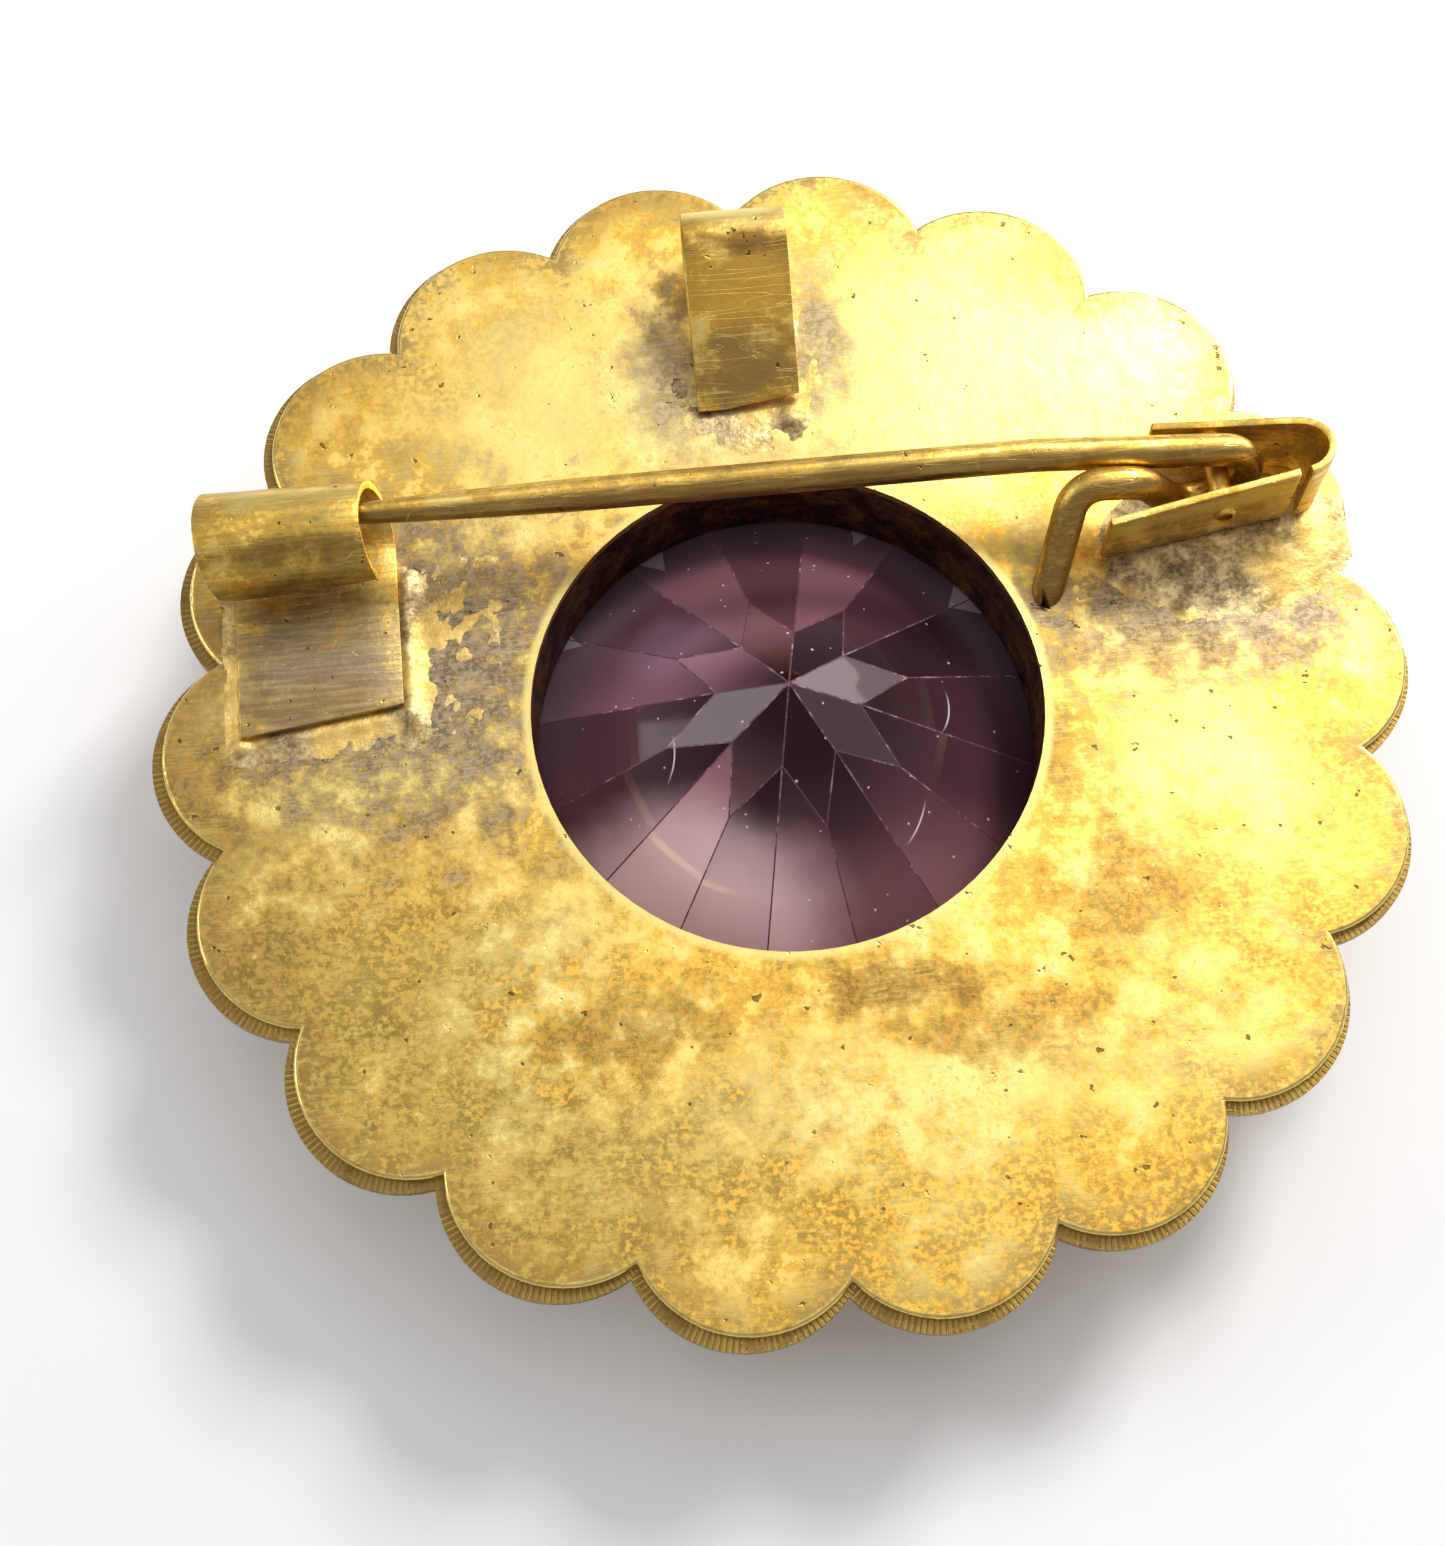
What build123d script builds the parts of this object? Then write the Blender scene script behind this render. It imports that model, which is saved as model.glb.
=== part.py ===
from build123d import *
from math import asin, atan2, cos, hypot, radians, sin, sqrt
import os

os.makedirs("parts", exist_ok=True)

# A round scalloped brooch, lying face down on the table of its stone.
# The origin is the middle of the stone's table. +Z points out of the back.
# +X runs along the pin stem, from the catch to the hinge.

# Stone
girdle_radius = 9.75
girdle_front = 2.2
girdle_thickness = 0.35
table_radius = 5.6
crown_half_slope = 0.597
star_slope = 0.224
culet_height = 6.4
pavilion_main_slope = 0.611
pavilion_half_slope = 0.685
stone_mains = 8
stone_turn = 12

# Sheet metal body
lobes = 18
lobe_tip_radius = 22.5
lobe_notch_radius = 20.7
plate_bottom = 6.55
plate_thickness = 0.35
plate_hole_radius = 9.26
plate_edge_round = 0.14
shell_thickness = 0.35
shell_overhang = 0.25
shell_shift = (-0.15, -0.2)
shell_hole_radius = 10.5
petal_centre_radius = 18.4
petal_depth = 3.26
petal_root_depth = 1.9

# Setting of the stone
bearer_outer_radius = 9.83
bearer_seat = 3.05
setting_inner_radius = 9.85
setting_wall = 0.35
setting_front = 1.6
setting_lip_reach = 9.4
setting_lip_thickness = 0.3
claw_count = 36
claw_gap = 0.55
border_wire_radius = 0.42

# Hinge and pin, with heights above the back plate
wire_radius = 0.6
rivet_radius = 0.4
rivet_start_y = 5.0
rivet_length = 3.6
rivet_fit = 0.01
pivot_x = 16.4
pivot_height = 1.9
wire_bend = 1.1
stem_y = 7.6
foot_gap = 0.04
bracket_thickness = 0.28
bracket_height = 4.5
bracket_bend_centre = (19.1, 6.8)
bracket_bend_radius = 1.15
near_cheek_end = (12.0, 4.6)
far_cheek_end = (14.2, 8.66)
near_cheek_lift = 0.4

# Catch
catch_thickness = 0.3
catch_width = 5.9
catch_right = -13.72
catch_near_y = 0.85
catch_skew = 0.136
catch_roll_y = 7.25
catch_roll_radius = 1.8
catch_lip_angle = 224
catch_lean = 0.25

# Pendant bail
bail_thickness = 0.3
bail_width = 3.85
bail_x = -0.2
bail_near_y = 12.1
bail_roll_y = 17.9
bail_roll_radius = 1.5
bail_back_y = 14.3

solder_film = 0.12

plate_top = plate_bottom + plate_thickness
lobe_step = 360 / lobes


def polar(radius, angle):
    return (radius * cos(radians(angle)), radius * sin(radians(angle)))


def scallop(tip, notch):
    """Closed outline of one arc for each lobe, with sharp notches between them."""
    for k in range(lobes):
        ThreePointArc(
            polar(notch, (k - 0.5) * lobe_step),
            polar(tip, k * lobe_step),
            polar(notch, (k + 0.5) * lobe_step),
        )


def tangent_point(point, centre, radius, side):
    """Where the line from point touches the circle, on its left (side 1) or right (side -1)."""
    dx, dy = centre[0] - point[0], centre[1] - point[1]
    reach = hypot(dx, dy)
    heading = atan2(dy, dx) + side * asin(radius / reach)
    length = sqrt(reach**2 - radius**2)
    return (point[0] + length * cos(heading), point[1] + length * sin(heading))


def finish(sub_part, name):
    sub_part.part.label = name
    export_step(sub_part.part, f"parts/{name}.step")


# Back plate: flat scalloped sheet with a rounded rim and a round hole.
with BuildPart() as back_plate:
    with BuildSketch(Plane.XY.offset(plate_bottom)):
        with BuildLine():
            scallop(lobe_tip_radius, lobe_notch_radius)
        make_face()
        Circle(plate_hole_radius, mode=Mode.SUBTRACT)
    extrude(amount=plate_thickness)
    rim = back_plate.edges().group_by(Axis.Z)[-1].filter_by(GeomType.CIRCLE).sort_by(Edge.length)[:lobes]
    fillet(rim, radius=plate_edge_round)
finish(back_plate, "back_plate")


def petal_form(inset):
    """Half profile of a drop-shaped petal, in the XZ plane, made smaller all round by inset."""
    depth = petal_depth - inset
    root = (shell_hole_radius - 2, plate_bottom - petal_root_depth + inset)
    centre = (petal_centre_radius, plate_bottom)
    crest = tangent_point(root, centre, depth, -1)
    with BuildSketch(Plane.XZ) as form:
        with BuildLine():
            Line((root[0], plate_bottom), root)
            Line(root, crest)
            RadiusArc(crest, (petal_centre_radius + depth, plate_bottom), -depth)
            Line((petal_centre_radius + depth, plate_bottom), (root[0], plate_bottom))
        make_face()
    return form.sketch


petal_outside = petal_form(0)
petal_inside = petal_form(shell_thickness)
petal_axis = Axis((0, 0, plate_bottom), (1, 0, 0))

# One petal of the front shell: a hollow drop on a flat rim, cut to a twenty degree wedge.
with BuildPart() as petal:
    revolve(petal_outside, axis=petal_axis)
    with BuildSketch(Plane.XY.offset(plate_bottom)):
        with BuildLine():
            scallop(lobe_tip_radius + shell_overhang, lobe_notch_radius + shell_overhang)
        make_face()
    extrude(amount=-shell_thickness)
    with BuildSketch():
        with BuildLine():
            Polyline((0, 0), polar(30, -lobe_step / 2), polar(30, lobe_step / 2), close=True)
        make_face()
    extrude(amount=plate_bottom, mode=Mode.INTERSECT)
    revolve(petal_inside, axis=petal_axis, mode=Mode.SUBTRACT)
    with BuildSketch():
        Circle(shell_hole_radius)
    extrude(amount=plate_bottom, mode=Mode.SUBTRACT)

# Front shell: the petals all round, stamped from one sheet and soldered a little off centre.
with BuildPart() as front_shell:
    with Locations(shell_shift):
        with PolarLocations(0, lobes):
            add(petal.part)
finish(front_shell, "front_shell")

# Bearer: the ring that the stone's girdle sits on, behind the hole in the back plate.
with BuildPart() as stone_bearer:
    with BuildSketch(Plane.XY.offset(bearer_seat)):
        Circle(bearer_outer_radius)
        Circle(plate_hole_radius, mode=Mode.SUBTRACT)
    extrude(amount=plate_bottom - bearer_seat)
finish(stone_bearer, "stone_bearer")

# Setting: a bezel whose front lip is cut into claws that close over the stone's edge.
with BuildPart() as stone_setting:
    with BuildSketch(Plane.XY.offset(setting_front)):
        Circle(setting_inner_radius + setting_wall)
        Circle(setting_inner_radius, mode=Mode.SUBTRACT)
    extrude(amount=plate_bottom - setting_front)
    with BuildSketch(Plane.XY.offset(setting_front)):
        Circle(setting_inner_radius)
        Circle(setting_lip_reach, mode=Mode.SUBTRACT)
    extrude(amount=setting_lip_thickness)
    with BuildSketch(Plane.XY.offset(setting_front)):
        with PolarLocations(setting_inner_radius, claw_count):
            Rectangle(2, claw_gap)
    extrude(amount=setting_lip_thickness, mode=Mode.SUBTRACT)
finish(stone_setting, "stone_setting")

# Border wire round the foot of the setting, over the roots of the petals.
with BuildPart() as setting_wire:
    border_radius = setting_inner_radius + setting_wall + border_wire_radius + 0.02
    with Locations((0, 0, plate_bottom - petal_root_depth - border_wire_radius - 0.35)):
        Torus(border_radius, border_wire_radius)
finish(setting_wire, "setting_wire")


def facet(angle, slope, reach, height, side):
    """Plane of one facet: it passes reach from the axis at that height, and rises by slope towards the axis."""
    lean = Vector(slope * cos(radians(angle)), slope * sin(radians(angle)), side)
    across = polar(reach, angle)
    return Plane(origin=(across[0], across[1], height), z_dir=lean)


# Stone: a round blank, cut facet by facet.
girdle_back = girdle_front + girdle_thickness
half_turn = 180 / stone_mains
bezel_slope = girdle_front / (girdle_radius - table_radius)
star_reach = table_radius * cos(radians(half_turn))
with BuildPart() as stone:
    with BuildSketch():
        Circle(girdle_radius)
    extrude(amount=girdle_back + culet_height + 1)
    for k in range(stone_mains):
        main = stone_turn + k * 2 * half_turn
        cuts = [
            facet(main, pavilion_main_slope, 0, girdle_back + culet_height, 1),
            facet(main - half_turn / 2, pavilion_half_slope, girdle_radius, girdle_back, 1),
            facet(main + half_turn / 2, pavilion_half_slope, girdle_radius, girdle_back, 1),
            facet(main, bezel_slope, girdle_radius, girdle_front, -1),
            facet(main - half_turn / 2, crown_half_slope, girdle_radius, girdle_front, -1),
            facet(main + half_turn / 2, crown_half_slope, girdle_radius, girdle_front, -1),
            facet(main + half_turn, star_slope, star_reach, 0, -1),
        ]
        for cut in cuts:
            split(bisect_by=cut, keep=Keep.BOTTOM)
finish(stone, "stone")

# Catch: one strip, flat on the plate, then rolled up, over and down to a lip.
catch_middle = plate_top + catch_thickness / 2
roll_height = catch_middle + catch_roll_radius
with BuildPart() as catch:
    with BuildSketch(Plane.YZ.offset(catch_right + 1)):
        with BuildLine():
            Line((catch_near_y - 2, catch_middle), (catch_roll_y, catch_middle))
            CenterArc((catch_roll_y, roll_height), catch_roll_radius, -90, 90 + catch_lip_angle)
        trace(line_width=catch_thickness)
    extrude(amount=-catch_width - 4)
    right_side = Plane(origin=(catch_right, 0, catch_middle), z_dir=(1, 0, catch_lean))
    split(bisect_by=right_side, keep=Keep.BOTTOM)
    split(bisect_by=right_side.offset(-catch_width * cos(atan2(catch_lean, 1))), keep=Keep.TOP)
    near_edge = Plane(origin=(catch_right - catch_width / 2, catch_near_y, 0), z_dir=(-catch_skew, 1, 0))
    split(bisect_by=near_edge, keep=Keep.TOP)
    # The lip is cut askew, like the near edge, so it ends higher on the side where the pin enters.
    with BuildSketch(Plane.XZ.offset(-catch_roll_y + catch_roll_radius / 4)):
        with BuildLine():
            Polyline(
                (catch_right + 1, plate_top + catch_thickness),
                (catch_right + 1, plate_top + 2.5),
                (catch_right - catch_width - 3, plate_top + 0.55),
                (catch_right - catch_width - 3, plate_top + catch_thickness),
                close=True,
            )
        make_face()
    extrude(amount=2.5, mode=Mode.SUBTRACT)
finish(catch, "catch")

# Hinge bracket: a strip on edge, bent to a hairpin that opens towards the catch.
near_tangent = tangent_point(near_cheek_end, bracket_bend_centre, bracket_bend_radius, -1)
far_tangent = tangent_point(far_cheek_end, bracket_bend_centre, bracket_bend_radius, 1)
bend_middle = (bracket_bend_centre[0] + bracket_bend_radius, bracket_bend_centre[1])
pivot_z = plate_top + pivot_height
with BuildPart() as hinge_bracket:
    with BuildSketch(Plane.XY.offset(plate_top)):
        with BuildLine():
            Line(near_cheek_end, near_tangent)
            ThreePointArc(near_tangent, bend_middle, far_tangent)
            Line(far_tangent, far_cheek_end)
        trace(line_width=bracket_thickness)
    extrude(amount=bracket_height)
    top_edge = Plane(origin=(near_cheek_end[0], near_cheek_end[1], plate_top + 3.2), z_dir=(-0.135, 0.26, 1))
    split(bisect_by=top_edge, keep=Keep.BOTTOM)
    with BuildSketch(Plane.XZ):
        with BuildLine():
            Polyline(
                (near_cheek_end[0] - 1, plate_top),
                (near_cheek_end[0] - 1, plate_top + near_cheek_lift),
                (bracket_bend_centre[0] - 1.5, plate_top + near_cheek_lift + 0.15),
                (bracket_bend_centre[0] - 0.6, plate_top),
                close=True,
            )
        make_face()
    extrude(amount=-6, mode=Mode.SUBTRACT)
    with BuildSketch(Plane.XZ):
        with Locations((pivot_x, pivot_z)):
            Circle(rivet_radius + rivet_fit)
    extrude(amount=-10, mode=Mode.SUBTRACT)
finish(hinge_bracket, "hinge_bracket")

# Rivet through both cheeks: the pin turns about it.
with BuildPart() as hinge_rivet:
    with BuildSketch(Plane.XZ.offset(-rivet_start_y)):
        with Locations((pivot_x, pivot_z)):
            Circle(rivet_radius)
    extrude(amount=-rivet_length)
finish(hinge_rivet, "hinge_rivet")

# Pin: one wire. A tapered stem, a bend round the rivet, and a tail that arches down to the plate.
stem_z = pivot_z + wire_bend
under_z = pivot_z - wire_bend
bend_x = pivot_x + wire_bend
taper_start = -7.0
wire_points = [
    (taper_start, stem_y, stem_z),
    (9.6, stem_y, stem_z),
    (bend_x, 7.1, stem_z),
    (bend_x, 6.75, under_z),
    (14.9, 6.35, under_z),
    (13.4, 6.1, plate_top + 3.1),
    (11.0, 6.2, plate_top + 3.1),
    (9.85, 3.35, plate_top - 0.35),
]
wire_bends = [5, 1.08, 1.08, 1.2, 1.3, 1.2]
with BuildPart() as pin_wire:
    with BuildLine() as wire_path:
        FilletPolyline(*wire_points, radius=wire_bends)
    with BuildSketch(Plane(origin=wire_points[0], z_dir=(1, 0, 0))):
        Circle(wire_radius)
    sweep(path=wire_path.line)
    split(bisect_by=Plane.XY.offset(plate_top + foot_gap), keep=Keep.TOP)
    with BuildSketch(Plane.XZ.offset(-stem_y)):
        with BuildLine():
            Polyline(
                (taper_start, stem_z),
                (taper_start, stem_z + wire_radius),
                (-14.0, stem_z + 0.43),
                (-17.1, stem_z + 0.08),
                (-17.2, stem_z),
                close=True,
            )
        make_face()
    revolve(axis=Axis((0, stem_y, stem_z), (1, 0, 0)))
finish(pin_wire, "pin_wire")

# Pendant bail: one strip bent to a drop-shaped loop, with both ends on the plate.
bail_middle = plate_top + bail_thickness / 2
bail_roll = (bail_roll_y, bail_middle + bail_roll_radius)
bail_foot = (bail_near_y, bail_middle)
bail_tangent = tangent_point(bail_foot, bail_roll, bail_roll_radius, 1)
bail_crest = (bail_roll_y + bail_roll_radius, bail_roll[1])
with BuildPart() as pendant_bail:
    with BuildSketch(Plane.YZ.offset(bail_x - bail_width / 2)):
        with BuildLine():
            Line((bail_back_y, bail_middle), (bail_roll_y, bail_middle))
            ThreePointArc((bail_roll_y, bail_middle), bail_crest, bail_tangent)
            Line(bail_tangent, bail_foot)
        trace(line_width=bail_thickness)
    extrude(amount=bail_width)
finish(pendant_bail, "pendant_bail")

# Solder: a thin film round the foot of each fitting.
with BuildPart() as catch_solder:
    with BuildSketch(Plane.XY.offset(plate_top)):
        with Locations((-15.2, 3.95)):
            RectangleRounded(10.3, 9.2, 0.9)
    extrude(amount=solder_film)
    add(catch.part, mode=Mode.SUBTRACT)
finish(catch_solder, "catch_solder")

with BuildPart() as hinge_solder:
    with BuildSketch(Plane.XY.offset(plate_top)):
        with Locations((16.4, 5.3)):
            Ellipse(4.6, 3.0)
    extrude(amount=solder_film)
    add(hinge_bracket.part, mode=Mode.SUBTRACT)
finish(hinge_solder, "hinge_solder")

with BuildPart() as bail_solder:
    with BuildSketch(Plane.XY.offset(plate_top)):
        with Locations((bail_x, 13.6)):
            Ellipse(3.1, 3.9)
    extrude(amount=solder_film)
    add(pendant_bail.part, mode=Mode.SUBTRACT)
finish(bail_solder, "bail_solder")
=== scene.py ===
from math import acos, cos, pi, radians, sin, tan

import bmesh
import bpy
from mathutils import Matrix, Vector


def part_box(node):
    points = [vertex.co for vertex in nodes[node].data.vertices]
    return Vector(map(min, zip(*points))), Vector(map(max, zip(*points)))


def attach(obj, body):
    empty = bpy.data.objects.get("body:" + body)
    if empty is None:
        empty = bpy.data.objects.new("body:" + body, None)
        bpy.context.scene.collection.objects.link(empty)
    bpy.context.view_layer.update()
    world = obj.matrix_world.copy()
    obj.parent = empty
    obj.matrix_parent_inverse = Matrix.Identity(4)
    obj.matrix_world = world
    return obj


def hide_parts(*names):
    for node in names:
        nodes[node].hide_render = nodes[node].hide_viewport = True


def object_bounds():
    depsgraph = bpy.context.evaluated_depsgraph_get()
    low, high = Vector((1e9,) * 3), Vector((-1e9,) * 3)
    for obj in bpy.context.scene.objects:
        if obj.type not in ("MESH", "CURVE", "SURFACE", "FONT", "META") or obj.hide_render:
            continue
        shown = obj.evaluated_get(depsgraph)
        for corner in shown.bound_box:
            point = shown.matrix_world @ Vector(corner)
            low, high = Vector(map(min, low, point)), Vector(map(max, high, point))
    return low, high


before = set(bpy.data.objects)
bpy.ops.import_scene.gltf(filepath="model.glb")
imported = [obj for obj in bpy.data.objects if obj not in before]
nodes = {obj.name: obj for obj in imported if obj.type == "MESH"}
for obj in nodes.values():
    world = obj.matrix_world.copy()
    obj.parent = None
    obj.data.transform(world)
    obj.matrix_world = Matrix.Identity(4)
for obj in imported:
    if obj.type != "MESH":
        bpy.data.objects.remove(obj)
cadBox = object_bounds()
scene = bpy.context.scene
mm = 0.001
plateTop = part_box("back_plate")[1].z / mm
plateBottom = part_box("back_plate")[0].z / mm


# camera, light and floor

view = {
    "place": (-5.343, -33.929, 90.148),
    "turn": (20.82, 0.17, -5.44),
    "lens": 58.215,
}


def makeCamera():
    bpy.ops.object.camera_add(
        location=Vector(view["place"]) * mm,
        rotation=[radians(a) for a in view["turn"]],
    )
    camera = bpy.context.object
    camera.name = "camera"
    camera.data.lens = view["lens"]
    camera.data.clip_start = 0.002
    camera.data.clip_end = 10
    scene.camera = camera


lamps = {
    "keyLamp": {
        "place": (140, 175, 215), "aim": (0, 0, 0), "size": (95, 95), "power": 0.62,
        "colour": (1, 0.98, 0.95),
    },
    "topPanel": {
        "place": (40, 85, 215), "aim": (40, 85, 0), "size": (220, 260), "power": 0.126,
        "colour": (1, 1, 1),
    },
    "leftPanel": {
        "place": (-176, 36, 109), "aim": (0, 0, 7), "size": (75, 75), "power": 0.08,
        "colour": (0.97, 0.98, 1),
    },
    "rightPanel": {
        "place": (166, 108, 74), "aim": (0, 0, 7), "size": (70, 70), "power": 0.08,
        "colour": (1, 1, 1),
    },
}
air = {"colour": (0.96, 0.95, 0.95), "strength": 0.42}


def makeLamps():
    for name, lamp in lamps.items():
        place = Vector(lamp["place"]) * mm
        aim = Vector(lamp["aim"]) * mm
        turn = (aim - place).to_track_quat("-Z", "Y").to_euler()
        bpy.ops.object.light_add(type="AREA", location=place, rotation=turn)
        made = bpy.context.object
        made.name = name
        made.data.shape = "RECTANGLE"
        made.data.size = lamp["size"][0] * mm
        made.data.size_y = lamp["size"][1] * mm
        made.data.energy = lamp["power"]
        made.data.color = lamp["colour"]
    world = bpy.data.worlds.new("air")
    world.use_nodes = True
    background = world.node_tree.nodes["Background"]
    background.inputs["Color"].default_value = (*air["colour"], 1)
    background.inputs["Strength"].default_value = air["strength"]
    scene.world = world
    scene.view_settings.view_transform = "Standard"


floorLook = {"size": 1.6, "colour": (0.93, 0.93, 0.945), "roughness": 0.6, "gap": 0.02}


def makeFloor():
    bpy.ops.object.select_all(action="DESELECT")
    height = cadBox[0][2] - floorLook["gap"] * mm
    bpy.ops.mesh.primitive_plane_add(size=floorLook["size"], location=(0, 0, height))
    floor = bpy.context.object
    floor.name = "floor"
    paper = bpy.data.materials.new("palePaper")
    paper.use_nodes = True
    shader = paper.node_tree.nodes["Principled BSDF"]
    shader.inputs["Base Color"].default_value = (*floorLook["colour"], 1)
    shader.inputs["Roughness"].default_value = floorLook["roughness"]
    floor.data.materials.append(paper)


makeCamera()
makeLamps()
makeFloor()
print("camera, lamps and floor done")


# node helpers, which add to the material started last

tree = None


def startLook(name):
    global tree
    look = bpy.data.materials.new(name)
    look.use_nodes = True
    tree = look.node_tree
    return look


def put(kind, inputs, **settings):
    made = tree.nodes.new("ShaderNode" + kind)
    for key, value in settings.items():
        setattr(made, key, value)
    for key, value in inputs.items():
        if isinstance(value, bpy.types.NodeSocket):
            tree.links.new(value, made.inputs[key])
        else:
            made.inputs[key].default_value = value
    return made


def calc(operation, a, b=0.0, clamp=False):
    return put("Math", {0: a, 1: b}, operation=operation, use_clamp=clamp).outputs[0]


def fade(value, low, high, toLow=0.0, toHigh=1.0):
    inputs = {"Value": value, "From Min": low, "From Max": high, "To Min": toLow, "To Max": toHigh}
    return put("MapRange", inputs, interpolation_type="SMOOTHSTEP").outputs[0]


def mixColour(amount, a, b, kind="MIX"):
    a = a if isinstance(a, bpy.types.NodeSocket) else (*a, 1)
    b = b if isinstance(b, bpy.types.NodeSocket) else (*b, 1)
    return put("Mix", {0: amount, 6: a, 7: b}, data_type="RGBA", blend_type=kind).outputs[2]


def mixValue(amount, a, b):
    return put("Mix", {0: amount, 2: a, 3: b}, data_type="FLOAT").outputs[0]


def inMillimetres():
    where = put("TexCoord", {}).outputs["Object"]
    return put("Mapping", {"Vector": where, "Scale": (1 / mm, 1 / mm, 1 / mm)}).outputs[0]


def noise(where, size, detail=3.0, roughness=0.5):
    inputs = {"Vector": where, "Scale": 1 / size, "Detail": detail, "Roughness": roughness}
    return put("TexNoise", inputs).outputs[0]


def ramp(value, stops):
    made = put("ValToRGB", {"Fac": value})
    bar = made.color_ramp
    while len(bar.elements) < len(stops):
        bar.elements.new(0.5)
    for element, (position, colour) in zip(bar.elements, stops):
        element.position = position
        element.color = (*colour, 1)
    return made.outputs[0]


# a ragged oval patch, 1 inside and 0 outside
def patch(where, centre, size, rag, ragged):
    moved = put("VectorMath", {0: where, 1: centre}, operation="SUBTRACT").outputs[0]
    scaled = put("VectorMath", {0: moved, 1: size}, operation="DIVIDE").outputs[0]
    reach = put("VectorMath", {0: scaled}, operation="LENGTH").outputs["Value"]
    shift = calc("MULTIPLY", calc("SUBTRACT", rag, 0.5), ragged)
    return fade(calc("ADD", reach, shift), 0.25, 1.25, 1, 0)


# fine hairlines that run one way, with gaps
def hairlines(where, turn, spread, length, width, share):
    inputs = {"Vector": where, "Rotation": (0, 0, radians(turn)), "Scale": (1 / length, 1 / spread, 1)}
    turned = put("Mapping", inputs).outputs[0]
    field = noise(turned, 1, 0)
    line = fade(calc("ABSOLUTE", calc("SUBTRACT", field, 0.5)), 0, width, 1, 0)
    gaps = fade(noise(where, length * 0.6, 1), 0.64 - share * 0.3, 0.68 - share * 0.3)
    return calc("MULTIPLY", line, gaps)


# distance from the middle axis of the brooch
def fromAxis(where):
    flat = put("VectorMath", {0: where, 1: (1, 1, 0)}, operation="MULTIPLY").outputs[0]
    return put("VectorMath", {0: flat}, operation="LENGTH").outputs["Value"]


scallops = {"count": 18, "centre": 18.39, "reach": 4.11}


# distance from the middle of the nearest scallop, and the angle there
def fromScallop(where):
    parts = put("SeparateXYZ", {0: where}).outputs
    angle = calc("ARCTAN2", parts[1], parts[0])
    step = 2 * pi / scallops["count"]
    folded = calc("SUBTRACT", calc("FLOORED_MODULO", calc("ADD", angle, step / 2), step), step / 2)
    out = fromAxis(where)
    along = calc("SUBTRACT", calc("MULTIPLY", out, calc("COSINE", folded)), scallops["centre"])
    across = calc("MULTIPLY", out, calc("SINE", folded))
    reach = calc("SQRT", calc("ADD", calc("MULTIPLY", along, along), calc("MULTIPLY", across, across)))
    return reach, calc("ARCTAN2", across, along)


def finishMetal(look, colour, roughness, metal, bumps):
    shader = tree.nodes["Principled BSDF"]
    tree.links.new(colour, shader.inputs["Base Color"])
    tree.links.new(roughness, shader.inputs["Roughness"])
    shader.inputs["Metallic"].default_value = metal
    normal = None
    for height, depth in bumps:
        inputs = {"Height": height, "Strength": 1.0, "Distance": depth * mm}
        if normal is not None:
            inputs["Normal"] = normal
        normal = put("Bump", inputs).outputs[0]
    tree.links.new(normal, shader.inputs["Normal"])
    return look


# worn gilding: cloudy gold over olive and brown tarnish, with specks, hairlines and a soft uneven surface
gilt = {
    "bright": (1.0, 0.81, 0.28),
    "gold": (0.97, 0.65, 0.15),
    "olive": (0.50, 0.35, 0.09),
    "brown": (0.22, 0.115, 0.03),
    "umber": (0.33, 0.20, 0.06),
    "ochre": (0.72, 0.42, 0.07),
    "grey": (0.30, 0.235, 0.15),
    "cloud": 7.0,
    "mottle": 1.3,
    "speck": 0.22,
}


def giltBase(where, wear, seed=0.0):
    moved = put("Mapping", {"Vector": where, "Location": (seed, seed * 0.7, seed * 1.3)}).outputs[0]
    cloud = noise(moved, gilt["cloud"], 4, 0.55)
    mottle = noise(moved, gilt["mottle"], 6, 0.68)
    speck = noise(moved, gilt["speck"], 3, 0.6)
    mixed = calc("ADD", calc("MULTIPLY", cloud, 0.45), calc("MULTIPLY", mottle, 0.42))
    mixed = calc("ADD", mixed, calc("MULTIPLY", speck, 0.13))
    shifted = calc("SUBTRACT", mixed, wear) if wear else mixed
    stops = [(0.33, "brown"), (0.43, "olive"), (0.485, "ochre"), (0.515, "gold"), (0.60, "bright")]
    colour = ramp(shifted, [(place, gilt[tone]) for place, tone in stops])
    roughness = fade(shifted, 0.35, 0.62, 0.5, 0.27)
    return cloud, mottle, speck, colour, roughness


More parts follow.
